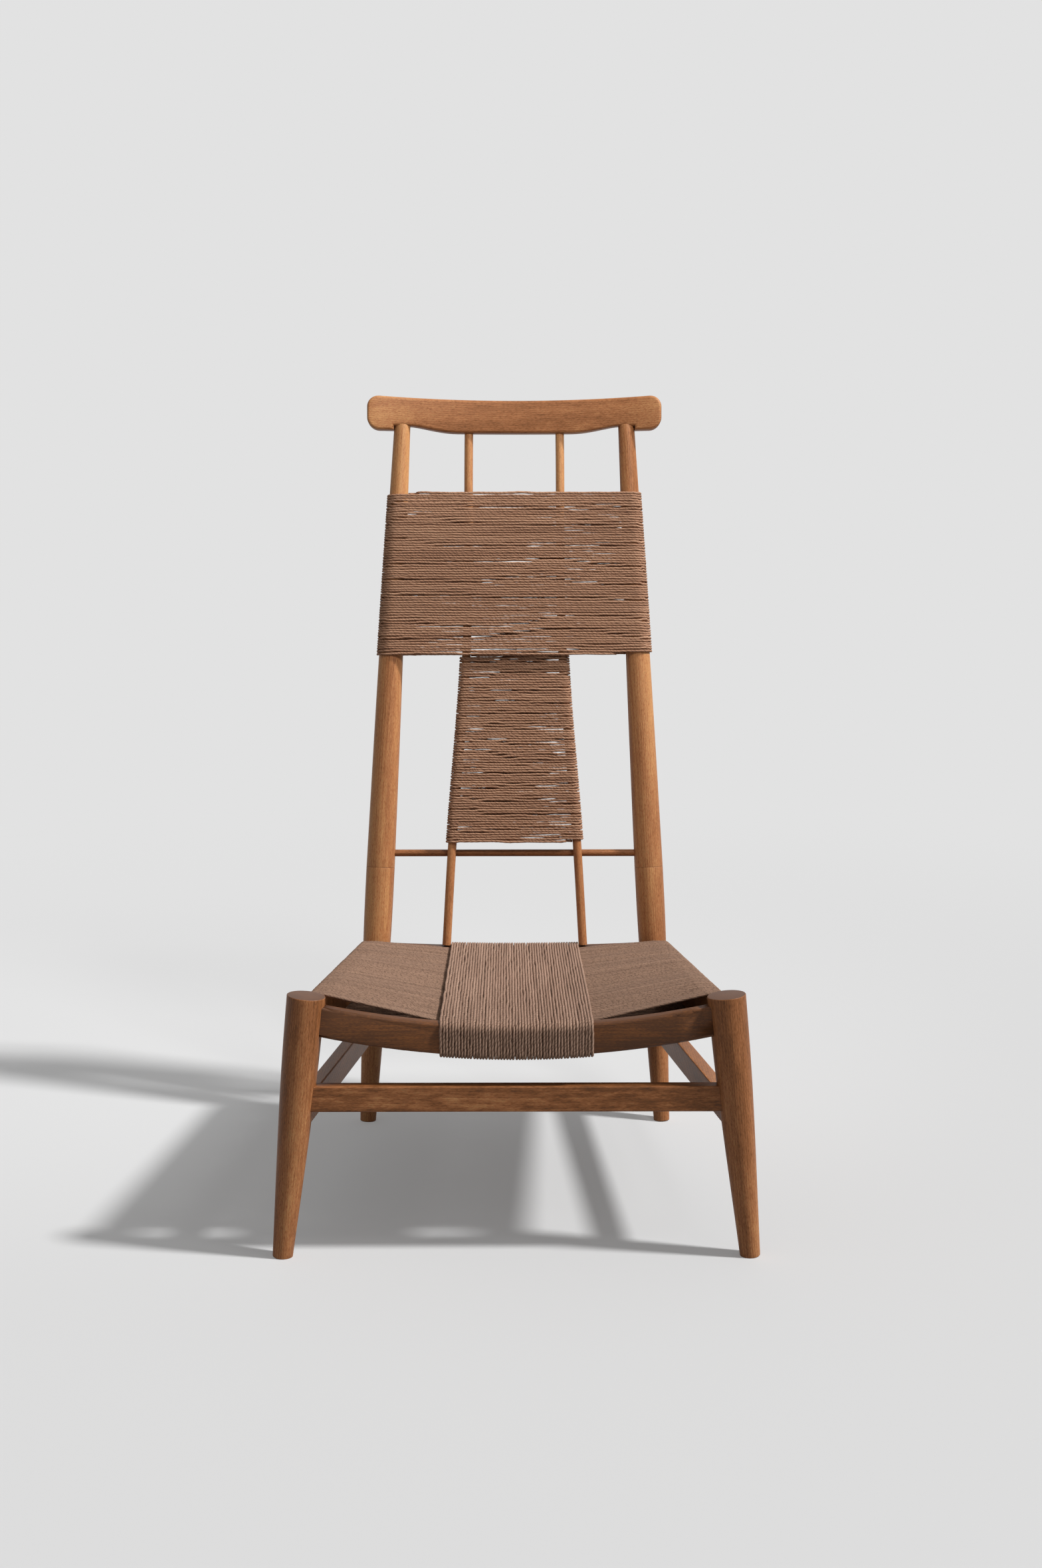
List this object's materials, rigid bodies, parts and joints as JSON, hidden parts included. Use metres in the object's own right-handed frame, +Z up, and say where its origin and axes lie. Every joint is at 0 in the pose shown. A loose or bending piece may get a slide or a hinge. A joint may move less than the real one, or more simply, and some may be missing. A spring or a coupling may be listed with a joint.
{
  "type": "lounge chair",
  "caption": "Low wooden lounge chair with turned splayed legs, a tall tapering back and cord wound over the back and the dished seat.",
  "frame": {"origin": "centre of the footprint at floor level, under the middle of the whole chair", "axes": "+Z up, along the tallest extent; the sitter faces -Y; +X to the left of the sitter"},
  "size_m": [0.6496, 0.7892, 1.1484],
  "materials": {
    "wood": "satin, oiled",
    "cord": "matt, twisted cord"
  },
  "bodies": {
    "root": {"back_dowel": "wood", "back_post_left": "wood", "back_post_right": "wood", "crest_rail": "wood", "front_leg_left": "wood", "front_leg_right": "wood", "front_seat_rail": "wood", "front_stretcher": "wood", "lower_back_cord": "cord", "post_dowel_left": "wood", "post_dowel_right": "wood", "rear_leg_left": "wood", "rear_leg_right": "wood", "rear_seat_rail": "wood", "seat_band_cord": "cord", "seat_cross_cord": "cord", "side_seat_rail_left": "wood", "side_seat_rail_right": "wood", "side_stretcher_left": "wood", "side_stretcher_right": "wood", "spindle_left": "wood", "spindle_right": "wood", "upper_back_cord": "cord"}
  },
  "joints": []
}
